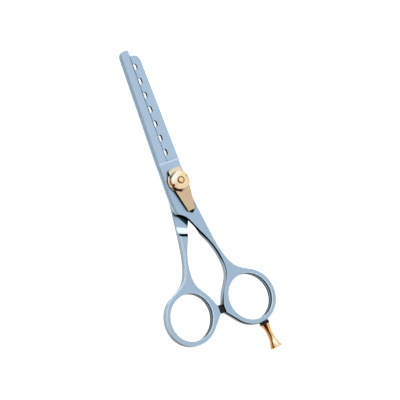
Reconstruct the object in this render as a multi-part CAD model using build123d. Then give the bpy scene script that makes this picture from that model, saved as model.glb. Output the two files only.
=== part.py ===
from build123d import *
import os
from math import cos, radians, sin

# Thinning shears of the 6 inch class, closed, lying flat on the thumb half.
# Millimetres. Origin: on the pivot axis, at the flat underside of the thumb half.
# +Y runs to the blade tips, +X to the finger ring, +Z up through the tension nut.
# Both halves are the same forging: it is drawn once, about the shears' own centre
# line and joint plane, as the finger half, and turned over to make the thumb half.

# ---- the two forged halves ----
HALF_THICK = 2.75
JOINT_GAP = 0.05                # each half is eased back this much from the joint plane
AXIS_X = -1.3                   # the centre line, seen from the pivot

SPINE_BASE = -6.6
BLOCK_RIGHT = 5.5
BLOCK_HEEL = (-5.8, -15.6)
GRIND_Y = 11.0                  # the block ends and the ground blade begins
BLOCK_BEVEL = 1.1
BLOCK_BEVEL_DROP = 1.3

RAMP_X = 4.6                    # the shank thickens past the joint plane from here
RAMP_Y = -22.4
RAMP_TURN = 22.7                # square to the shank
RAMP_RADIUS = 6.1
CUT_SPAN = 80.0
CUT_DEPTH = 10.0

RING_X = 16.65
RING_Y = -66.7
HOLE_SHORT = 11.15              # half axes of the oval finger hole
HOLE_LONG = 12.1
RING_WIDTH = 2.4
RING_TILT = 19.0                # the oval's long axis splays outwards
RING_JOIN_AT = 48.0             # where the shank's outer side runs into the ring
LUG_FOOT_AT = 203.0             # where the bumper lug's foot leaves the ring
LUG_X = 1.7
LUG_TOP_Y = -65.7
CROTCH_X = 9.3                  # how far out the gap between the shanks reaches, and where
CROTCH_Y = -44.5
OUTER_ROUND = 0.7
HOLE_ROUND = 0.6
INNER_ROUND = 0.25

# ---- blades ----
BLADE_OVERLAP = 0.4             # the blade's root runs this far into the block
SPINE_TIP = -5.3
RIDGE_IN = 1.3                  # spine bevel: width and height of its lower edge
RIDGE_DROP = 1.3
THICK_BASE = 2.55
THICK_TIP = 1.75
FACE_FALL = 0.4                 # the outer face falls this much towards the edge bevel
EDGE_BEVEL = 1.0
EDGE_THICK = 0.25
TIP_Y = 71.0
PLAIN_EDGE_BASE = 0.1
PLAIN_EDGE_TIP = 0.6
PLAIN_TIP_ROUND = 2.9
NOTCHED_TIP_Y = 67.8
NOTCHED_EDGE_BASE = 1.5
NOTCHED_EDGE_TIP = 1.3
NOTCHED_TIP_ROUND = 3.4

NOTCH_COUNT = 7
NOTCH_FIRST_Y = 16.1
NOTCH_PITCH = 7.64
NOTCH_WIDTH = 3.3
NOTCH_FLOOR_FIRST = -2.15
NOTCH_FLOOR_LAST = -2.45
NOTCH_ROUND = 1.0

# ---- pivot hardware ----
SHAFT_R = 2.0
THREAD_R = 1.6
HEAD_R = 4.2
HEAD_THICK = 1.0
KEY_SIDE = 4.8                  # square neck that keys the screw to the thumb half
FIT_GAP = 0.05                  # radial clearance of running and located fits
BUSH_R = 2.7
GLIDE_R = 4.6
GLIDE_THICK = 0.5
WASHER_R = 5.7
WASHER_THICK = 0.6
NUT_R = 4.7
NUT_RIM = 1.6
NUT_CROWN = 0.8
NUT_LOW_BREAK = 0.3             # broken edges of the nut's rim
NUT_TOP_BREAK = 0.25
NUT_DOME_R = 2.9                # the crown passes this radius, this far below its top
NUT_DOME_DROP = 0.3
NUT_NOTCH_WIDTH = 1.1
NUT_NOTCH_DEPTH = 0.9
NUT_NOTCH_AT = 17.0
NUT_POCKET_R = 2.0
NUT_POCKET_DEEP = 0.5
SCREW_END_R = 1.3
SCREW_END_STANDS = 0.6
SCREW_END_ROUND = 0.5

# ---- tension spring ----
SPRING_THICK = 0.8
SPRING_LEAN = 4.6               # its length leans this much from the centre line
SPRING_TOP_Y = 7.1              # the crown of the curved head
SPRING_HEAD_Y = 6.5
SPRING_HEAD_HALF = 3.3
SPRING_KNEE_Y = -4.2
SPRING_KNEE_HALF = 4.05
SPRING_TAIL_Y = -15.85
SPRING_TAIL_HALF = 2.0
SPRING_LIFT = 0.1               # the ends all but touch the block
SPRING_FLAT = 5.8               # the leaf is flat this far from the shaft
SPRING_CORNER = 0.35
SPRING_BOW_IN = 0.17            # the bowed tail keeps this much under its highest line
SPRING_HOLE_GAP = 0.15
WASHER_HOLE_GAP = 0.1
TAB_WIDTH = 1.5                 # the tail's end is bent down into a hole in the block
TAB_DEEP = 1.0
TAB_HOLE_Y = -16.1
TAB_HOLE_R = 1.3
TAB_HOLE_DEEP = 1.4

# ---- bumper ----
BUMPER_Y = -67.8
BUMPER_R = 2.2
BUMPER_GAP = 0.1
BUMPER_STEM_R = 0.9
BUMPER_STEM = 1.9
BUMPER_ROUND = 0.5

# ---- finger rest ----
REST_X = 19.5
REST_Y = -80.9
REST_LEAN = 7.0
REST_BOSS_R = 2.15
REST_BOSS = 1.6
REST_FLAT_R = 4.5               # the ring is filed flat this far round the seat
REST_WASHER_R = 2.5
REST_WASHER_THICK = 1.6
REST_LENGTH = 12.9
REST_TOP_R = 2.35
REST_WAIST_R = 1.5
REST_WAIST_AT = 4.6
REST_END_R = 3.3
REST_CHAMFER = 0.15
REST_STUD_R = 1.0
REST_STUD = 1.6

# ---- worked out from the sizes above ----
RING_SHORT = HOLE_SHORT + RING_WIDTH
RING_LONG = HOLE_LONG + RING_WIDTH
JOINT_TOP = HALF_THICK + JOINT_GAP
TOP_Z = 2 * HALF_THICK
WASHER_TOP = TOP_Z + WASHER_THICK
SPRING_TOP = WASHER_TOP + SPRING_THICK
NUT_LOW = SPRING_TOP + FIT_GAP
NUT_RIM_TOP = NUT_LOW + NUT_RIM
NUT_TOP = NUT_RIM_TOP + NUT_CROWN
POCKET_FLOOR = NUT_TOP - NUT_POCKET_DEEP


# ---- plan of the forging ----
def ring_point(angle):
    """Point on the ring's outer oval, at this angle round from its short axis."""
    turn = radians(angle)
    spoke = Vector(RING_SHORT * cos(turn), RING_LONG * sin(turn))
    return Vector(RING_X, RING_Y) + spoke.rotate(Axis.Z, RING_TILT)


def ring_heading(angle):
    """Clockwise direction of travel along the ring's outer oval at ring_point."""
    turn = radians(angle)
    heading = Vector(RING_SHORT * sin(turn), -RING_LONG * cos(turn))
    return heading.rotate(Axis.Z, RING_TILT).normalized()


def forging_plan():
    """Block, shank and ring as one outline, less the finger hole."""
    foot = ring_point(LUG_FOOT_AT)
    foot_slope = ring_heading(LUG_FOOT_AT)
    lug_low = foot + foot_slope * ((LUG_X - foot.X) / foot_slope.X)
    outer = Spline(
        (BLOCK_RIGHT, GRIND_Y), (5.6, -3), (5.95, -11), (6.95, -19), (8.2, -28),
        (9.4, -35.5), (11.25, -42.5), (14.7, -49), ring_point(RING_JOIN_AT),
        tangents=((-0.02, -1), ring_heading(RING_JOIN_AT)),
    )
    ring = EllipticalCenterArc(
        (RING_X, RING_Y), RING_SHORT, RING_LONG,
        start_angle=LUG_FOOT_AT - 360, arc_size=360 - LUG_FOOT_AT + RING_JOIN_AT, rotation=RING_TILT,
    )
    lug = Polyline(foot, lug_low, (LUG_X, LUG_TOP_Y))
    inner = Spline(
        (LUG_X, LUG_TOP_Y), (4.1, -60), (8.8, -52), (CROTCH_X, CROTCH_Y),
        (6.6, -34), (1.8, -24), BLOCK_HEEL,
        tangents=((0.35, 0.9), (-0.94, 0.3)),
    )
    spine = Spline(BLOCK_HEEL, (-6.4, -11), (-6.65, -3), (SPINE_BASE, GRIND_Y))
    front = Line((SPINE_BASE, GRIND_Y), (BLOCK_RIGHT, GRIND_Y))
    edges = [edge for line in (outer, ring, lug, inner, spine, front) for edge in line.edges()]
    hole = Pos(RING_X, RING_Y) * Rot(0, 0, RING_TILT) * Ellipse(HOLE_SHORT, HOLE_LONG)
    return make_face(edges) - hole


def edge_near(solid, x, y, z):
    """The edge of the solid that passes closest to a point."""
    point = Vertex(x, y, z)
    return min(solid.edges(), key=lambda edge: edge.distance_to(point))


def ramp_cut():
    """Everything under the joint plane ahead of the shank's concave ramp."""
    ahead = Pos(0, CUT_SPAN / 2, JOINT_GAP - CUT_DEPTH / 2) * Box(CUT_SPAN, CUT_SPAN, CUT_DEPTH)
    ramp = Pos(0, 0, JOINT_GAP - RAMP_RADIUS) * Rot(0, 90, 0) * Cylinder(RAMP_RADIUS, CUT_SPAN)
    return Pos(RAMP_X, RAMP_Y) * Rot(0, 0, RAMP_TURN) * (ahead + ramp)


def handle():
    """Block, shank and ring of one half, edges eased, ramped down to the joint plane."""
    solid = extrude(forging_plan(), HALF_THICK, both=True)
    solid = chamfer(edge_near(solid, SPINE_BASE, 0, HALF_THICK), BLOCK_BEVEL_DROP, BLOCK_BEVEL)
    ring_side = RING_X + RING_SHORT
    for face_z in (HALF_THICK, -HALF_THICK):
        solid = fillet(edge_near(solid, ring_side, RING_Y, face_z), OUTER_ROUND)
        solid = fillet(edge_near(solid, RING_X + HOLE_SHORT, RING_Y, face_z), HOLE_ROUND)
        solid = fillet(edge_near(solid, CROTCH_X, CROTCH_Y, face_z), INNER_ROUND)
    return solid - ramp_cut()


# ---- blades ----
def between(base, tip, y):
    """Value at y of something that changes evenly from the grind line to the tip."""
    return base + (tip - base) * (y - GRIND_Y) / (TIP_Y - GRIND_Y)


def blade_section(y, edge_x):
    """Cross section of a ground blade: spine bevel, falling face, edge bevel."""
    spine_x = between(SPINE_BASE, SPINE_TIP, y)
    thick = between(THICK_BASE, THICK_TIP, y)
    spine_wall = thick - RIDGE_DROP
    points = [
        (spine_x, JOINT_GAP),
        (spine_x, spine_wall),
        (spine_x + RIDGE_IN, thick),
        (edge_x - EDGE_BEVEL, thick - FACE_FALL),
        (edge_x, JOINT_GAP + EDGE_THICK),
        (edge_x, JOINT_GAP),
    ]
    outline = Polyline(*[(x, y, z) for x, z in points], close=True)
    return make_face(outline)


def blade(edge_base, edge_tip, tip_y, tip_round):
    """One ground blade, from inside the block to its blunt tip."""
    root_y = GRIND_Y - BLADE_OVERLAP
    root = blade_section(root_y, between(edge_base, edge_tip, root_y))
    end = blade_section(TIP_Y, edge_tip)
    body = loft([root, end], ruled=True)
    body -= Pos(0, tip_y + CUT_SPAN / 2, 0) * Box(CUT_SPAN, CUT_SPAN, CUT_DEPTH)
    centre = Pos(between(SPINE_BASE, SPINE_TIP, tip_y) + tip_round, tip_y - tip_round)
    corner = centre * Pos(-tip_round, tip_round) * Box(2 * tip_round, 2 * tip_round, CUT_DEPTH)
    return body - (corner - centre * Cylinder(tip_round, CUT_DEPTH))


def notch(index):
    """One through notch of the thinning blade, open at its cutting edge."""
    y = NOTCH_FIRST_Y + index * NOTCH_PITCH
    along = index / (NOTCH_COUNT - 1)
    floor_x = NOTCH_FLOOR_FIRST + (NOTCH_FLOOR_LAST - NOTCH_FLOOR_FIRST) * along
    reach = NOTCHED_EDGE_BASE + 1 - floor_x
    plan = Pos(floor_x + reach, y) * RectangleRounded(2 * reach, NOTCH_WIDTH, NOTCH_ROUND)
    return extrude(plan, CUT_DEPTH / 2, both=True)


# ---- placing ----
def place_finger(local):
    """From the forging's own axes to the finger half's place, on top."""
    return Pos(AXIS_X, 0, HALF_THICK) * local


def place_thumb(local):
    """The same forging turned over about the centre line, underneath."""
    return Pos(AXIS_X, 0, HALF_THICK) * Rot(0, 180, 0) * local


def drum(radius, low, high):
    """Round solid on the pivot axis between two heights."""
    return Pos(0, 0, (low + high) / 2) * Cylinder(radius, high - low)


def rest_frame():
    """Frame at the finger rest's seat: its +Z runs out along the rest, whose flare just meets z = 0."""
    return Location((AXIS_X + REST_X, REST_Y, REST_END_R)) * Rot(0, 0, REST_LEAN) * Rot(90, 0, 0)


def finger_blade():
    half = place_finger(handle() + blade(PLAIN_EDGE_BASE, PLAIN_EDGE_TIP, TIP_Y, PLAIN_TIP_ROUND))
    half -= drum(BUSH_R, 0, TOP_Z + 1)
    tab_hole = Pos(0, TAB_HOLE_Y, TOP_Z - TAB_HOLE_DEEP / 2) * Cylinder(TAB_HOLE_R, TAB_HOLE_DEEP)
    half -= Rot(0, 0, SPRING_LEAN) * tab_hole
    boss = Pos(0, 0, -REST_BOSS / 2) * Cylinder(REST_BOSS_R, REST_BOSS)
    flat = Pos(0, 0, REST_WASHER_THICK / 2) * Cylinder(REST_FLAT_R, REST_WASHER_THICK)
    stud_hole = Pos(0, 0, -REST_STUD / 2) * Cylinder(REST_STUD_R, REST_STUD)
    return half - rest_frame() * flat + rest_frame() * boss - rest_frame() * stud_hole


def thumb_blade():
    local = handle() + blade(NOTCHED_EDGE_BASE, NOTCHED_EDGE_TIP, NOTCHED_TIP_Y, NOTCHED_TIP_ROUND)
    for index in range(NOTCH_COUNT):
        local -= notch(index)
    half = place_thumb(local)
    half -= drum(HEAD_R + FIT_GAP, 0, HEAD_THICK)
    half -= Pos(0, 0, HALF_THICK / 2) * Box(KEY_SIDE, KEY_SIDE, HALF_THICK)
    half -= drum(GLIDE_R + FIT_GAP, JOINT_TOP - GLIDE_THICK, HALF_THICK + 1)
    lug_x = AXIS_X - LUG_X
    stem_middle = Pos(lug_x - BUMPER_STEM / 2, BUMPER_Y, HALF_THICK)
    return half - stem_middle * Rot(0, 90, 0) * Cylinder(BUMPER_STEM_R, BUMPER_STEM)


def pivot_screw():
    """Flush head, square key, plain shaft, threaded stub with a domed end."""
    key_top = JOINT_TOP - GLIDE_THICK - FIT_GAP
    neck = Pos(0, 0, (HEAD_THICK + key_top) / 2) * Box(KEY_SIDE, KEY_SIDE, key_top - HEAD_THICK)
    shaft = drum(SHAFT_R, key_top, TOP_Z)
    thread = drum(THREAD_R, TOP_Z, POCKET_FLOOR)
    end = drum(SCREW_END_R, POCKET_FLOOR, NUT_TOP + SCREW_END_STANDS)
    end = fillet(end.edges().sort_by(Axis.Z)[-1], SCREW_END_ROUND)
    return drum(HEAD_R, 0, HEAD_THICK) + neck + shaft + thread + end


def pivot_nut():
    """Crowned round nut with two key notches in its rim."""
    inside = (THREAD_R, NUT_TOP)
    shoulder = (NUT_R - NUT_TOP_BREAK, NUT_RIM_TOP)
    rim = Polyline(
        inside, (THREAD_R, NUT_LOW), (NUT_R - NUT_LOW_BREAK, NUT_LOW), (NUT_R, NUT_LOW + NUT_LOW_BREAK),
        (NUT_R, NUT_RIM_TOP - NUT_TOP_BREAK), shoulder,
    )
    crown = ThreePointArc(shoulder, (NUT_DOME_R, NUT_TOP - NUT_DOME_DROP), inside)
    nut = revolve(Plane.XZ * make_face([*rim.edges(), *crown.edges()]), Axis.Z)
    nut -= drum(NUT_POCKET_R, POCKET_FLOOR, NUT_TOP + 1)
    for turn in (NUT_NOTCH_AT, NUT_NOTCH_AT + 180):
        slot = Pos(NUT_R, 0, NUT_RIM_TOP) * Box(2 * NUT_NOTCH_DEPTH, NUT_NOTCH_WIDTH, 2 * NUT_RIM)
        nut -= Rot(0, 0, turn) * slot
    return nut


def spring_profile():
    """Side view of the bowed leaf: low at both ends, flat under the nut."""
    low = TOP_Z + SPRING_LIFT
    high = WASHER_TOP
    tail = (SPRING_TAIL_Y, low)
    hub_back = (-SPRING_FLAT, high)
    hub_front = (SPRING_FLAT, high)
    head = (SPRING_TOP_Y, low)
    under = [
        ThreePointArc(tail, ((SPRING_TAIL_Y - SPRING_FLAT) / 2, high - SPRING_BOW_IN), hub_back),
        Line(hub_back, hub_front),
        Line(hub_front, head),
    ]
    lift = Pos(0, SPRING_THICK)
    over = [lift * line for line in under]
    ends = [Line(tail, (tail[0], tail[1] + SPRING_THICK)), Line(head, (head[0], head[1] + SPRING_THICK))]
    return make_face([edge for line in (*under, *over, *ends) for edge in line.edges()])


def spring_plan():
    """Plan of the leaf: curved head, broadest behind the nut, long tapering tail."""
    right = [
        (SPRING_HEAD_HALF, SPRING_HEAD_Y),
        (SPRING_KNEE_HALF, SPRING_KNEE_Y),
        (SPRING_TAIL_HALF, SPRING_TAIL_Y),
    ]
    left = [(-x, y) for x, y in reversed(right)]
    head = ThreePointArc(left[-1], (0, SPRING_TOP_Y), right[0])
    outline = make_face([*Polyline(*right, *left).edges(), *head.edges()])
    return fillet(outline.vertices(), SPRING_CORNER)


def tension_spring():
    """Coffin-shaped leaf spring with a hole for the shaft and its tail bent down into the block."""
    side = Plane.YZ * spring_profile()
    leaf = extrude(side, CUT_SPAN / 2, both=True) & extrude(spring_plan(), CUT_SPAN)
    leaf -= drum(SHAFT_R + SPRING_HOLE_GAP, TOP_Z - 1, NUT_TOP)
    tab_top = TOP_Z + SPRING_LIFT + SPRING_THICK / 2
    tab_height = tab_top - TOP_Z + TAB_DEEP
    tab_middle = Pos(0, SPRING_TAIL_Y + SPRING_THICK / 2, tab_top - tab_height / 2)
    tab = tab_middle * Box(TAB_WIDTH, SPRING_THICK, tab_height)
    return Rot(0, 0, SPRING_LEAN) * (leaf + tab)


def spring_washer():
    return drum(WASHER_R, TOP_Z, WASHER_TOP) - drum(SHAFT_R + WASHER_HOLE_GAP, 0, NUT_TOP)


def pivot_bushing():
    return drum(BUSH_R, JOINT_TOP, TOP_Z) - drum(SHAFT_R + FIT_GAP, 0, NUT_TOP)


def glide_washer():
    return drum(GLIDE_R, JOINT_TOP - GLIDE_THICK, JOINT_TOP) - drum(SHAFT_R + FIT_GAP, 0, NUT_TOP)


def bumper():
    """Rubber buffer with a push-in stem, its head a shallow dome."""
    length = 2 * LUG_X - BUMPER_GAP
    seat = Location((AXIS_X - LUG_X, BUMPER_Y, HALF_THICK)) * Rot(0, 90, 0)
    head = Pos(0, 0, length / 2) * Cylinder(BUMPER_R, length)
    head = fillet(head.edges().sort_by(Axis.Z)[-1], BUMPER_ROUND)
    stem = Pos(0, 0, -BUMPER_STEM / 2) * Cylinder(BUMPER_STEM_R, BUMPER_STEM)
    return seat * (head + stem)


def finger_rest_washer():
    ring = Pos(0, 0, REST_WASHER_THICK / 2) * Cylinder(REST_WASHER_R, REST_WASHER_THICK)
    bore = Pos(0, 0, REST_WASHER_THICK / 2) * Cylinder(REST_STUD_R + FIT_GAP, REST_WASHER_THICK)
    return rest_frame() * (ring - bore)


def finger_rest():
    """Waisted tang that flares to a flat end, with its threaded stud."""
    low = REST_WASHER_THICK
    end = low + REST_LENGTH
    waist = low + REST_WAIST_AT
    side = ThreePointArc((REST_TOP_R, low), (REST_WAIST_R, waist), (REST_END_R, end - REST_CHAMFER))
    rest = Polyline(
        (REST_END_R, end - REST_CHAMFER), (REST_END_R - REST_CHAMFER, end), (0, end), (0, -REST_STUD),
        (REST_STUD_R, -REST_STUD), (REST_STUD_R, low), (REST_TOP_R, low),
    )
    profile = make_face([*side.edges(), *rest.edges()])
    return rest_frame() * revolve(Plane.XZ * profile, Axis.Z)


PARTS = {
    "finger_blade": finger_blade,
    "thumb_blade": thumb_blade,
    "pivot_screw": pivot_screw,
    "pivot_nut": pivot_nut,
    "tension_spring": tension_spring,
    "spring_washer": spring_washer,
    "pivot_bushing": pivot_bushing,
    "glide_washer": glide_washer,
    "bumper": bumper,
    "finger_rest": finger_rest,
    "finger_rest_washer": finger_rest_washer,
}

os.makedirs("parts", exist_ok=True)
for name, build in PARTS.items():
    export_step(build(), f"parts/{name}.step")
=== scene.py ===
"""Thinning shears: looks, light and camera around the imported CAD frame. Metres."""

from math import cos, radians, sin

import bpy
from mathutils import Matrix, Vector


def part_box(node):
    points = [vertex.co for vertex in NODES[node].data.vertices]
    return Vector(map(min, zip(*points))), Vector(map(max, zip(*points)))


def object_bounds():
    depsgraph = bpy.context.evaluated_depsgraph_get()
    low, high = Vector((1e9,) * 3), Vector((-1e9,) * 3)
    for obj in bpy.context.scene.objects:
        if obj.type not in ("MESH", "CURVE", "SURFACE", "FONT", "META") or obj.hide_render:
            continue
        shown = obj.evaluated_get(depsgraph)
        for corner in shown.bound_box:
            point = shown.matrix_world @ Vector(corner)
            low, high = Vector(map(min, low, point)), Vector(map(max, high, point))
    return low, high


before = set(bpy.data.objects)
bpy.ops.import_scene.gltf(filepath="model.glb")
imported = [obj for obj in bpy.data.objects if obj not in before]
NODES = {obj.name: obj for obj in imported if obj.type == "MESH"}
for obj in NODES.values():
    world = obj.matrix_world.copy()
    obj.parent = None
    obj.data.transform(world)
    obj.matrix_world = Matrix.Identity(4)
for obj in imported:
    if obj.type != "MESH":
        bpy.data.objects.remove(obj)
cad_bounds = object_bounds()

SCENE = bpy.context.scene
MM = 0.001
FINGER_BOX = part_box("finger_blade")
THUMB_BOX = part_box("thumb_blade")
SPRING_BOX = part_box("tension_spring")
REST_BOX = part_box("finger_rest")

# ---- camera ----
VIEW_TILT = 20.9          # the camera leans this far from straight above
VIEW_SWING = 6.5          # it leans to the thumb side, turned this much to the handles
VIEW_ROLL = 19.96         # the tips point up and to the left
VIEW_DISTANCE = 1.2
VIEW_WIDTH = 0.201        # width of the picture at the object
VIEW_CENTRE = Vector((-1.2, -10.0, 5.5)) * MM
VIEW_PAN = Vector((8.46, 0.23)) * MM   # how far right and up of that the picture's middle is
SENSOR = 36.0
FLOOR_GLOW = 0.6          # the floor is a lit table, so the shears throw almost no shadow
WORLD_STRENGTH = 1.0
DARK_LEAN = 0.12          # the dark of the room stands higher on the thumb side
DARK_TOP = 0.12           # the room is dark up to this height, and white from the next
WHITE_FROM = 0.3
FLOOR_HALF = 3.0
FLOOR_GAP = 0.2 * MM      # the floor lies this far under the shears
PIVOT = (0, 0, 0)

# ---- where the polished walls lie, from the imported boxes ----
FACE_Z = FINGER_BOX[1].z              # the flats' height over the rest face
RING_HALF = 13.7 * MM                 # the ring's own half width and half length
RING_HALF_LONG = 14.2 * MM
HOLE_REACH = 12.6 * MM                # hole walls lie inside this radius, outer walls beyond it
HEEL_Y = SPRING_BOX[0].y + 1.0 * MM   # the shanks' inner walls begin at the tail of the spring
BLADE_Y = 11.2 * MM                   # past the grind line
EDGE_Z = FACE_Z / 2 + 0.3 * MM        # top of the upper blade's cutting edge
SHADE_LINE = -13.55 * MM              # painted shadow on the joint face above this slanting line
SCOOP_START = -23.0 * MM              # painted bright reflection at the scoop's foot, square to the shank
SCOOP_SIDE_X = -7.8 * MM              # its steep end gets a painted dark reflection beyond this
SHANK_DARK_Y = -25 * MM               # the painted reflection on the shank's inner wall lightens between these
SHANK_LIGHT_Y = -35 * MM
FORK_Y = -42 * MM                     # the inner wall's painted reflection is light from here down to the lug
LUG_Y = -66 * MM
PIT_X = 1.3 * MM                      # the spring tail's hole
PIT_Y = -14.6 * MM


def make_camera():
    """Long-lens camera almost straight above the shears, rolled as they lie across the picture."""
    tilt, swing, roll = radians(VIEW_TILT), radians(VIEW_SWING), radians(VIEW_ROLL)
    back = Vector((-sin(tilt) * cos(swing), -sin(tilt) * sin(swing), cos(tilt)))
    north = (Vector((0, 1, 0)) - back * back.y).normalized()
    east = north.cross(back)
    up = north * cos(roll) + east * sin(roll)
    right = up.cross(back)
    aim = VIEW_CENTRE + right * VIEW_PAN.x + up * VIEW_PAN.y
    data = bpy.data.cameras.new("camera")
    data.sensor_width = SENSOR
    data.lens = SENSOR * VIEW_DISTANCE / VIEW_WIDTH
    data.clip_start = 0.01
    data.clip_end = 10
    camera = bpy.data.objects.new("camera", data)
    turn = Matrix((right, up, back)).transposed()
    camera.matrix_world = Matrix.Translation(aim + back * VIEW_DISTANCE) @ turn.to_4x4()
    SCENE.collection.objects.link(camera)
    SCENE.camera = camera


# ---- node helpers ----
class Shader:
    """One material's nodes, with short calls for the few kinds it needs."""

    def __init__(self, name, metallic, roughness):
        self.material = bpy.data.materials.new(name)
        self.material.use_nodes = True
        self.tree = self.material.node_tree
        self.surface = self.tree.nodes["Principled BSDF"]
        self.surface.inputs["Metallic"].default_value = metallic
        self.surface.inputs["Roughness"].default_value = roughness
        self.coords = self.tree.nodes.new("ShaderNodeTexCoord")

    def link(self, source, socket):
        self.tree.links.new(source, socket)

    def feed(self, node, index, value):
        """Plug in another node's output, or set a plain value."""
        if isinstance(value, bpy.types.NodeSocket):
            self.link(value, node.inputs[index])
        else:
            node.inputs[index].default_value = value

    def maths(self, operation, first, second=0.0):
        """One sum of two values; MULTIPLY_ADD adds the second value again."""
        node = self.tree.nodes.new("ShaderNodeMath")
        node.operation = operation
        self.feed(node, 0, first)
        self.feed(node, 1, second)
        if operation == "MULTIPLY_ADD":
            self.feed(node, 2, second)
        return node.outputs[0]

    def ramp(self, value, low, high, out_low=0.0, out_high=1.0):
        """Smooth step of a value between two limits."""
        node = self.tree.nodes.new("ShaderNodeMapRange")
        node.interpolation_type = "SMOOTHSTEP"
        self.feed(node, "Value", value)
        node.inputs["From Min"].default_value = low
        node.inputs["From Max"].default_value = high
        node.inputs["To Min"].default_value = out_low
        node.inputs["To Max"].default_value = out_high
        return node.outputs["Result"]

    def split(self, vector):
        node = self.tree.nodes.new("ShaderNodeSeparateXYZ")
        self.link(vector, node.inputs[0])
        return node.outputs

    def mix(self, factor, first, second):
        node = self.tree.nodes.new("ShaderNodeMix")
        node.data_type = "RGBA"
        self.feed(node, 0, factor)
        self.feed(node, 6, first)
        self.feed(node, 7, second)
        return node.outputs[2]

    def noise(self, stretch, detail=2.0):
        """Noise over the piece's own space; stretch is its grain per metre on each axis."""
        mapping = self.tree.nodes.new("ShaderNodeMapping")
        mapping.inputs["Scale"].default_value = stretch
        self.link(self.coords.outputs["Object"], mapping.inputs["Vector"])
        texture = self.tree.nodes.new("ShaderNodeTexNoise")
        texture.inputs["Scale"].default_value = 1.0
        texture.inputs["Detail"].default_value = detail
        self.link(mapping.outputs[0], texture.inputs["Vector"])
        return texture.outputs[0]

    def bump(self, height, strength, depth):
        node = self.tree.nodes.new("ShaderNodeBump")
        node.inputs["Strength"].default_value = strength
        node.inputs["Distance"].default_value = depth
        self.link(height, node.inputs["Height"])
        self.link(node.outputs[0], self.surface.inputs["Normal"])

    def edge_line(self, radius):
        """1 along sharp edges, 0 on open faces."""
        bevel = self.tree.nodes.new("ShaderNodeBevel")
        bevel.samples = 8
        bevel.inputs["Radius"].default_value = radius
        geometry = self.tree.nodes.new("ShaderNodeNewGeometry")
        dot = self.tree.nodes.new("ShaderNodeVectorMath")
        dot.operation = "DOT_PRODUCT"
        self.link(bevel.outputs[0], dot.inputs[0])
        self.link(geometry.outputs["Normal"], dot.inputs[1])
        return self.ramp(dot.outputs["Value"], 0.99, 0.9)

    def crevice(self, reach, open_below):
        """1 in the narrow gaps beside a neighbour, 0 in the open."""
        node = self.tree.nodes.new("ShaderNodeAmbientOcclusion")
        node.samples = 12
        node.inputs["Distance"].default_value = reach
        return self.ramp(node.outputs["AO"], open_below, open_below - 0.25)

    def hump(self, value, low, high):
        """1 in the middle of a range of a value, 0 at its ends and outside."""
        middle = (low + high) / 2
        return self.maths("MULTIPLY", self.ramp(value, low, middle), self.ramp(value, high, middle))

    def number_mix(self, factor, first, second):
        node = self.tree.nodes.new("ShaderNodeMix")
        self.feed(node, 0, factor)
        self.feed(node, 2, first)
        self.feed(node, 3, second)
        return node.outputs[0]

    def chain(self, operation, factors):
        """One operation taken along a list of values."""
        result = factors[0]
        for factor in factors[1:]:
            result = self.maths(operation, result, factor)
        return result

    def product(self, *factors):
        return self.chain("MULTIPLY", factors)

    def strongest(self, *factors):
        """The largest of several masks."""
        return self.chain("MAXIMUM", factors)

    def inverse(self, factor):
        """0 where a mask is 1, and 1 where it is 0."""
        return self.maths("SUBTRACT", 1.0, factor)

    def weighted(self, first, first_share, second, second_share):
        """Sum of two values, each times its share."""
        first_part = self.maths("MULTIPLY", first, first_share)
        second_part = self.maths("MULTIPLY", second, second_share)
        return self.maths("ADD", first_part, second_part)

    def square_sum(self, first, second):
        first_square = self.maths("MULTIPLY", first, first)
        second_square = self.maths("MULTIPLY", second, second)
        return self.maths("ADD", first_square, second_square)

    def finish(self, colour, roughness, grain, bump_strength, bump_depth):
        """Plug the finished colour, roughness and surface grain into the surface."""
        self.link(colour, self.surface.inputs["Base Color"])
        self.link(roughness, self.surface.inputs["Roughness"])
        self.bump(grain, bump_strength, bump_depth)
        return self.material


# ---- materials ----
WHITE = (1, 1, 1, 1)
STEEL = (0.385, 0.507, 0.648, 1)
STEEL_SHADE = (0.358, 0.478, 0.612, 1)
STEEL_HANDLE = (0.335, 0.45, 0.575, 1)
STEEL_SIDE = (0.41, 0.54, 0.66, 1)
# Painted light and shade: highlights, shade and reflections painted into the colour, from here down to the
# spring head's highlight.
STEEL_HIGHLIGHT = (0.68, 0.79, 0.89, 1)
SIDE_SHADE = (0.23, 0.30, 0.36, 1)
SIDE_FOOT_SHADE = (0.06, 0.10, 0.115, 1)
RIM_SHADE = (0.12, 0.18, 0.22, 1)
DARK_REFLECTION_AND_SHADE = (0.006, 0.022, 0.020, 1)
TEAL_REFLECTION = (0.07, 0.12, 0.12, 1)
BRIGHT_REFLECTION = (0.80, 0.92, 0.96, 1)
SHANK_LIGHT = (0.20, 0.27, 0.30, 1)
EDGE_SHADE = (0.035, 0.035, 0.04, 1)
GOLD_EDGE_HIGHLIGHT = (0.95, 0.85, 0.64, 1)
GOLD_CREVICE = (0.10, 0.02, 0.01, 1)
GOLD_MAROON_REFLECTION = (0.09, 0.004, 0.006, 1)
GOLD_HIGHLIGHT = (1.0, 0.98, 0.90, 1)
SPRING_HEAD_HIGHLIGHT = (0.80, 0.71, 0.54, 1)
RUBBER_DARK = (0.004, 0.006, 0.006, 1)
RUBBER_LIGHT = (0.018, 0.022, 0.024, 1)
NYLON_DARK = (0.70, 0.67, 0.58, 1)
NYLON_LIGHT = (0.82, 0.79, 0.70, 1)
PAPER = (0.9, 0.9, 0.9, 1)
ROOM_DARK = (0.02, 0.03, 0.03, 1)

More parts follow.
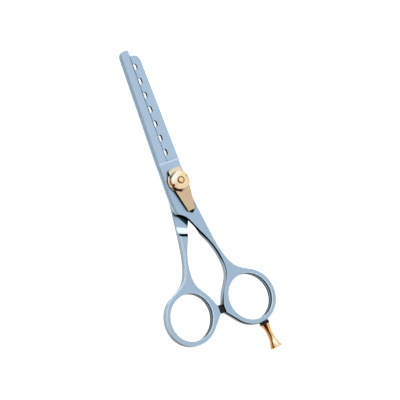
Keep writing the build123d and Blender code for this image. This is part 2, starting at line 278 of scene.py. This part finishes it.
HOLE_UPPER_BAND = (0.0, 2.4 * MM)     # painted dark reflection bands round the finger holes, by depth
HOLE_LOWER_BAND = (3.4 * MM, 5.4 * MM)
SHANK_BAND_HIGH = 3.0 * MM            # depth of the painted dark reflection on the shank's inner wall, at its two ends
SHANK_BAND_LOW = 2.1 * MM
STEEL_CREVICE = 1.8 * MM              # how far a neighbour darkens the flats with painted shade
# how far a neighbour darkens the gold with painted shade
GOLD_CREVICE_REACH = 0.8 * MM
TURNING_PITCH = 30000                 # radians per metre across the lathe marks
STREAK_LEAN = 0.35                    # the finger rest's painted dark reflection streak leans to the thumb side by this
STREAK_FOOT_LEAN = 0.8
NUT_FOOT_NEAR = 3.5 * MM              # the nut's painted dark reflection on the spring lies between these
NUT_FOOT_FAR = 5.8 * MM


class SatinSteel(Shader):
    """Satin-ground steel with polished hole walls, inner shank walls and scoop that carry painted
    reflections, and notches darkened with painted shade.
    """

    def __init__(self, name, box, top_half):
        super().__init__(name, 1.0, 0.4)
        self.top_half = top_half
        self.x, self.y, self.z = self.split(self.coords.outputs["Object"])
        self.nx, self.ny, self.nz = self.split(self.coords.outputs["Normal"])
        self.depth = self.maths("SUBTRACT", FACE_Z, self.z)
        self.wall = self.ramp(self.maths("ABSOLUTE", self.nz), 0.75, 0.45)
        self.on_blade = self.ramp(self.y, BLADE_Y, BLADE_Y + 0.5 * MM)
        self.facing = self.weighted(self.nx, -0.9, self.ny, -0.45)
        self.in_hole = self.hole_mask(box)
        side_top = HEEL_Y if top_half else 0.0
        on_handle = self.ramp(self.y, side_top, side_top - 1.5 * MM)
        self.on_handle = self.product(on_handle, self.inverse(self.in_hole))
        self.grain = self.noise((9000, 900, 9000))
        self.colour = self.mix(self.noise((120, 60, 120)), STEEL_SHADE, STEEL)
        self.black = 0.0
        self.shine = 0.0

    def paint(self, factor, tone):
        self.colour = self.mix(factor, self.colour, tone)

    def blacken(self, factor, tone=DARK_REFLECTION_AND_SHADE):
        """Paint dark painted shade and painted reflections, in a tone that stays dark at every angle."""
        self.paint(factor, tone)
        self.black = self.strongest(self.black, factor)

    def polish(self, factor):
        self.shine = self.strongest(self.shine, factor)

    def hole_mask(self, box):
        """1 within reach of the finger hole's middle."""
        ring_x = box[1].x - RING_HALF if self.top_half else box[0].x + RING_HALF
        ring_y = box[0].y + RING_HALF_LONG
        off_x = self.maths("SUBTRACT", self.x, ring_x)
        off_y = self.maths("SUBTRACT", self.y, ring_y)
        return self.ramp(self.square_sum(off_x, off_y), HOLE_REACH ** 2, (HOLE_REACH - 0.3 * MM) ** 2)

    def flats_and_rims(self):
        """Satin flats, slightly paler sides, and painted highlight and painted shade lines where the edges
        turn over.
        """
        self.paint(self.ramp(self.y, BLADE_Y, -BLADE_Y), STEEL_HANDLE)
        self.paint(self.ramp(self.nz, 0.88, 0.6), STEEL_SIDE)
        rim_shade_mask = self.product(self.hump(self.nz, 0.2, 0.8), self.ramp(self.nx, -0.1, 0.3), 0.6)
        self.paint(rim_shade_mask, RIM_SHADE)
        rim_highlight_mask = self.strongest(self.hump(self.nz, 0.78, 1.0), self.edge_line(0.16 * MM))
        self.paint(self.product(rim_highlight_mask, 0.7), STEEL_HIGHLIGHT)

    def outer_walls(self):
        """Painted shade on walls that face the thumb side, dark where they turn to the handles."""
        tone = self.mix(self.ramp(self.ny, 0.1, -0.75), SIDE_SHADE, SIDE_FOOT_SHADE)
        side = self.product(self.ramp(self.nz, 0.8, 0.5), self.ramp(self.facing, 0.0, 0.4), self.on_handle)
        self.paint(side, tone)
        if not self.top_half:
            # more painted shade on the lower half's walls by the heel
            heel = self.product(side, self.hump(self.y, HEEL_Y - 8 * MM, 0.0), 0.8)
            self.paint(heel, SIDE_FOOT_SHADE)

    def hole_walls(self):
        """Polished finger hole, with two painted dark reflection bands and a painted bright highlight on the
        rim.
        """
        upper_band = self.hump(self.depth, *HOLE_UPPER_BAND)
        bands = self.strongest(upper_band, self.hump(self.depth, *HOLE_LOWER_BAND))
        shown = self.product(self.wall, self.in_hole, self.ramp(self.facing, -0.35, 0.05))
        hole_reflection = self.product(shown, self.maths("MULTIPLY_ADD", bands, 0.5))
        self.blacken(hole_reflection)
        self.polish(hole_reflection)
        rim = self.product(self.hump(self.nz, 0.55, 1.0), self.ramp(self.nx, 0.0, -0.3), self.in_hole)
        self.paint(rim, BRIGHT_REFLECTION)

    def shank_wall(self):
        """Polished inner wall of the upper shank, with painted reflection, dark above and lighter below."""
        y = self.y
        wall = self.product(self.wall, self.ramp(self.facing, 0.3, 0.75), self.on_handle)
        by_ring = self.product(self.ramp(y, FORK_Y, FORK_Y - 6 * MM), self.ramp(y, LUG_Y, LUG_Y + 6 * MM))
        tone = self.mix(self.ramp(y, SHANK_DARK_Y, SHANK_LIGHT_Y), TEAL_REFLECTION, SHANK_LIGHT)
        tone = self.mix(by_ring, tone, SIDE_SHADE)
        tone = self.mix(self.ramp(y, LUG_Y + 2 * MM, LUG_Y), tone, SHANK_LIGHT)
        band = self.ramp(y, SHANK_DARK_Y, SHANK_LIGHT_Y, SHANK_BAND_HIGH, SHANK_BAND_LOW)
        band = self.maths("MULTIPLY", band, self.inverse(self.product(by_ring, 0.7)))
        under = self.ramp(self.maths("SUBTRACT", self.depth, band), -0.4 * MM, 0.9 * MM)
        self.paint(wall, self.mix(under, DARK_REFLECTION_AND_SHADE, tone))
        over = self.product(wall, self.inverse(under))
        self.black = self.strongest(self.black, over)
        self.polish(over)

    def spring_pit(self):
        """Painted shade in the hole that the spring's tail goes into."""
        along = self.hump(self.y, PIT_Y - 3.2 * MM, PIT_Y + 0.5 * MM)
        across = self.maths("ABSOLUTE", self.maths("SUBTRACT", self.x, PIT_X))
        sunk = self.ramp(self.depth, 0.1 * MM, 0.3 * MM)
        self.blacken(self.product(along, sunk, self.ramp(across, 1.7 * MM, 1.5 * MM)))

    def cutting_blade(self):
        """Painted highlight on the grind line and painted shade on the cutting edge of the upper blade."""
        at_face = self.ramp(self.depth, 0.1 * MM, 0.02 * MM)
        self.paint(self.product(self.hump(self.y, BLADE_Y - 0.8 * MM, BLADE_Y), at_face), STEEL_HIGHLIGHT)
        low = self.ramp(self.z, EDGE_Z + 0.45 * MM, EDGE_Z + 0.15 * MM)
        self.blacken(self.product(low, self.on_blade, self.ramp(self.nx, 0.1, 0.3)), EDGE_SHADE)

    def notch_walls(self):
        """Painted shade on the walls of the thinning notches, in two coats, so that their faded edges are
        dark too.
        """
        walls = self.product(self.wall, self.on_blade, self.ramp(self.nx, 0.6, 0.2))
        self.paint(walls, EDGE_SHADE)
        self.blacken(walls)

    def joint_face(self):
        """The lower half's bared joint face: painted shadow under the upper half, with a painted bright
        reflection on the scoop beyond and a painted dark reflection on its steep end.
        """
        sunk = self.ramp(self.depth, 0.25 * MM, 0.6 * MM)
        floor = self.product(sunk, self.ramp(self.y, HEEL_Y + 2 * MM, HEEL_Y), self.ramp(self.nz, 0.2, 0.35))
        slant = self.weighted(self.x, 0.868, self.y, 0.496)
        shaded = self.product(floor, self.ramp(slant, SHADE_LINE - 0.4 * MM, SHADE_LINE + 0.2 * MM))
        along = self.weighted(self.x, 0.386, self.y, 0.922)
        scoop = self.product(floor, self.ramp(along, SCOOP_START + 0.3 * MM, SCOOP_START - 0.6 * MM))
        inward = self.ramp(self.x, SCOOP_SIDE_X, SCOOP_SIDE_X + 1.2 * MM)
        steep_reflection = self.product(floor, self.ramp(self.nz, 0.86, 0.74), inward)
        self.paint(scoop, BRIGHT_REFLECTION)
        self.blacken(self.strongest(shaded, steep_reflection))
        self.polish(self.strongest(scoop, shaded))

    def crevice_shade(self):
        """Painted shade line on the flats beside the spring and nut, from the spring's head back."""
        behind_head = self.ramp(self.y, SPRING_BOX[1].y, SPRING_BOX[1].y - 2 * MM)
        near = self.crevice(STEEL_CREVICE, 0.93)
        self.blacken(self.product(near, self.ramp(self.nz, 0.6, 0.9), behind_head))

    def done(self):
        self.link(self.mix(self.black, WHITE, DARK_REFLECTION_AND_SHADE), self.surface.inputs["Specular Tint"])
        satin = self.ramp(self.grain, 0.3, 0.7, 0.34, 0.46)
        roughness = self.number_mix(self.shine, satin, 0.08)
        return self.finish(self.colour, roughness, self.grain, 0.05, 0.02 * MM)


def steel_half(name, box, top_half):
    """Satin steel for one half, with what shows only on that half."""
    steel = SatinSteel(name, box, top_half)
    steel.flats_and_rims()
    steel.outer_walls()
    steel.hole_walls()
    if top_half:
        steel.shank_wall()
        steel.cutting_blade()
        steel.spring_pit()
    else:
        steel.notch_walls()
        steel.joint_face()
    steel.crevice_shade()
    return steel.done()


class Gold(Shader):
    """Gold-coloured plate, with a deeper tone painted as shade where the sides fall away."""

    def __init__(self, name, pale, deep, smooth, rough):
        super().__init__(name, 1.0, smooth)
        self.smooth, self.rough = smooth, rough
        self.x, self.y, self.z = self.split(self.coords.outputs["Object"])
        self.nx, self.ny, self.nz = self.split(self.coords.outputs["Normal"])
        self.grain = self.noise((7000, 1200, 7000))
        # deeper tone where the sides fall away, painted as shade
        self.colour = self.mix(self.ramp(self.nz, 0.95, 0.35), pale, deep)
        cloud = self.ramp(self.noise((160, 160, 160)), 0.35, 0.65, 0.0, 0.25)
        self.paint(cloud, deep)
        # painted highlight along the sharp edges
        self.paint(self.product(self.edge_line(0.12 * MM), 0.5), GOLD_EDGE_HIGHLIGHT)
        # painted shade in the narrow gaps beside a neighbour
        self.dark = self.crevice(GOLD_CREVICE_REACH, 0.75)
        self.dark_tone = GOLD_CREVICE

    def paint(self, factor, tone):
        self.colour = self.mix(factor, self.colour, tone)

    def turned(self):
        """Lathe marks, a painted highlight on the side by the tips and thumb, and a painted maroon
        reflection at the foot facing the handles.
        """
        radius = self.maths("SQRT", self.square_sum(self.x, self.y))
        marks = self.maths("SINE", self.maths("MULTIPLY", radius, TURNING_PITCH))
        self.grain = self.maths("MULTIPLY_ADD", marks, 0.5)
        lit = self.weighted(self.y, 0.75, self.x, -0.65)
        gleam = self.product(self.ramp(lit, 0.4 * MM, 4.2 * MM), self.ramp(self.nz, 0.4, 0.8), 0.8)
        self.paint(gleam, GOLD_HIGHLIGHT)
        facing = self.weighted(self.nx, -0.3, self.ny, -0.95)
        foot = self.product(self.ramp(facing, 0.45, 0.8), self.ramp(self.nz, 0.6, 0.3))
        self.paint(foot, GOLD_MAROON_REFLECTION)

    def streaked(self, end_y, collar_y):
        """Painted dark reflection streak down the finger rest from its collar, and the painted highlight on
        its flare.
        """
        y = self.y
        half_wide = self.ramp(y, end_y, collar_y, 0.12, 0.5)
        lean = self.ramp(y, end_y + 1.5 * MM, end_y + 7 * MM, STREAK_FOOT_LEAN, STREAK_LEAN)
        off = self.maths("ABSOLUTE", self.maths("ADD", self.nx, lean))
        fading = self.ramp(y, end_y, end_y + 8 * MM, 0.3, 1.0)
        streak = self.product(self.ramp(self.maths("DIVIDE", off, half_wide), 1.0, 0.6), fading)
        below_waist = self.ramp(y, end_y + 7.5 * MM, end_y + 4 * MM)
        above_end = self.ramp(y, end_y + 0.5 * MM, end_y + 1.4 * MM)
        gleam = self.product(self.hump(self.nx, -0.7, 0.6), below_waist, above_end, 0.75)
        self.paint(gleam, GOLD_HIGHLIGHT)
        self.paint(streak, GOLD_MAROON_REFLECTION)

    def spring_painted_light(self):
        """Painted black shade on the thumb side, a painted highlight on the head, and the nut's painted dark
        reflection on the leaf below it.
        """
        side = self.product(self.ramp(self.nz, 0.7, 0.4), self.ramp(self.nx, -0.1, -0.4))
        self.dark = self.strongest(self.dark, side)
        self.dark_tone = DARK_REFLECTION_AND_SHADE
        self.paint(self.ramp(self.y, 3.0 * MM, 5.0 * MM, 0.0, 0.8), SPRING_HEAD_HIGHLIGHT)
        along = self.weighted(self.x, -0.45, self.y, -0.9)
        across = self.maths("ABSOLUTE", self.weighted(self.x, 0.9, self.y, -0.45))
        near = self.ramp(along, NUT_FOOT_NEAR, NUT_FOOT_NEAR + 0.7 * MM)
        far = self.ramp(along, NUT_FOOT_FAR, NUT_FOOT_FAR - 0.5 * MM)
        self.paint(self.product(far, near, self.ramp(across, 2.6 * MM, 1.6 * MM)), GOLD_MAROON_REFLECTION)

    def done(self):
        # painted shade in the gaps, and on the spring's thumb side
        self.paint(self.dark, self.dark_tone)
        self.link(self.mix(self.dark, WHITE, self.dark_tone), self.surface.inputs["Specular Tint"])
        roughness = self.ramp(self.grain, 0.3, 0.7, self.smooth, self.rough)
        return self.finish(self.colour, roughness, self.grain, 0.05, 0.015 * MM)


def turned_gold(name, pale, deep, smooth, rough):
    metal = Gold(name, pale, deep, smooth, rough)
    metal.turned()
    return metal.done()


def spring_bronze():
    metal = Gold("spring_bronze", (0.58, 0.445, 0.29, 1), (0.50, 0.37, 0.23, 1), 0.34, 0.44)
    metal.spring_painted_light()
    return metal.done()


def rest_gold():
    metal = Gold("rest_gold", (0.84, 0.52, 0.19, 1), (0.50, 0.25, 0.07, 1), 0.05, 0.1)
    metal.streaked(REST_BOX[0].y, REST_BOX[1].y)
    return metal.done()


def black_rubber():
    """Moulded rubber, dull and faintly mottled."""
    shader = Shader("black_rubber", 0.0, 0.6)
    mottle = shader.noise((900, 900, 900), 4.0)
    shader.surface.inputs["Specular IOR Level"].default_value = 0.15
    colour = shader.mix(mottle, RUBBER_DARK, RUBBER_LIGHT)
    return shader.finish(colour, shader.ramp(mottle, 0.3, 0.7, 0.45, 0.7), mottle, 0.15, 0.04 * MM)


def natural_nylon():
    """Cream nylon of the sealed-in bearing pieces."""
    shader = Shader("nylon", 0.0, 0.45)
    mottle = shader.noise((600, 600, 600), 3.0)
    colour = shader.mix(mottle, NYLON_DARK, NYLON_LIGHT)
    shader.link(colour, shader.surface.inputs["Base Color"])
    shader.link(shader.ramp(mottle, 0.3, 0.7, 0.38, 0.52), shader.surface.inputs["Roughness"])
    shader.surface.inputs["Subsurface Weight"].default_value = 0.1
    shader.surface.inputs["Subsurface Scale"].default_value = MM
    return shader.material


def dress(names, material):
    for name in names:
        slots = NODES[name].data.materials
        slots.clear()
        slots.append(material)


# ---- studio ----
def area_light(name, place, aim, size, power):
    """Soft rectangular studio light."""
    data = bpy.data.lights.new(name, "AREA")
    data.shape = "RECTANGLE"
    data.size, data.size_y = size
    data.energy = power
    light = bpy.data.objects.new(name, data)
    light.location = place
    light.rotation_mode = "QUATERNION"
    light.rotation_quaternion = (Vector(aim) - Vector(place)).to_track_quat("-Z", "Y")
    SCENE.collection.objects.link(light)


def make_world():
    """White tent overhead, with the dark of the room showing low down all round it."""
    world = bpy.data.worlds.new("studio")
    world.use_nodes = True
    tree = world.node_tree
    background = tree.nodes["Background"]
    coords = tree.nodes.new("ShaderNodeTexCoord")
    split = tree.nodes.new("ShaderNodeSeparateXYZ")
    tree.links.new(coords.outputs["Generated"], split.inputs[0])
    lean = tree.nodes.new("ShaderNodeMath")
    lean.operation = "MULTIPLY_ADD"
    tree.links.new(split.outputs["X"], lean.inputs[0])
    lean.inputs[1].default_value = DARK_LEAN
    tree.links.new(split.outputs["Z"], lean.inputs[2])
    ramp = tree.nodes.new("ShaderNodeValToRGB")
    tree.links.new(lean.outputs[0], ramp.inputs[0])
    stops = ramp.color_ramp.elements
    stops[0].position, stops[0].color = DARK_TOP, ROOM_DARK
    stops[1].position, stops[1].color = WHITE_FROM, WHITE
    tree.links.new(ramp.outputs[0], background.inputs["Color"])
    background.inputs["Strength"].default_value = WORLD_STRENGTH
    SCENE.world = world


def make_studio():
    """Pale floor and soft light."""
    SCENE.view_settings.view_transform = "Standard"
    make_world()
    half = FLOOR_HALF
    corners = [(-half, -half, 0), (half, -half, 0), (half, half, 0), (-half, half, 0)]
    mesh = bpy.data.meshes.new("floor")
    mesh.from_pydata(corners, [], [(0, 1, 2, 3)])
    floor = bpy.data.objects.new("floor", mesh)
    floor.location.z = cad_bounds[0].z - FLOOR_GAP
    SCENE.collection.objects.link(floor)
    paper = Shader("floor_paper", 0.0, 0.9)
    paper.surface.inputs["Base Color"].default_value = PAPER
    paper.surface.inputs["Emission Color"].default_value = WHITE
    paper.surface.inputs["Emission Strength"].default_value = FLOOR_GLOW
    mesh.materials.append(paper.material)
    area_light("softbox", (0.45, 0.1, 1.0), PIVOT, (1.2, 1.2), 0.6)
    area_light("key", (-0.45, 0.35, 0.9), PIVOT, (0.25, 0.25), 0.6)


make_camera()
make_studio()
dress(["finger_blade"], steel_half("steel_finger_half", FINGER_BOX, True))
dress(["thumb_blade"], steel_half("steel_thumb_half", THUMB_BOX, False))
dress(["pivot_screw"], turned_gold("screw_gold", (0.86, 0.60, 0.29, 1), (0.42, 0.22, 0.08, 1), 0.14, 0.2))
dress(["pivot_nut"], turned_gold("nut_gold", (0.82, 0.66, 0.42, 1), (0.60, 0.26, 0.08, 1), 0.12, 0.2))
dress(["spring_washer"], turned_gold("washer_gold", (0.60, 0.4, 0.18, 1), (0.3, 0.08, 0.03, 1), 0.16, 0.24))
dress(["tension_spring"], spring_bronze())
dress(["finger_rest"], rest_gold())
dress(["bumper", "finger_rest_washer"], black_rubber())
dress(["glide_washer", "pivot_bushing"], natural_nylon())
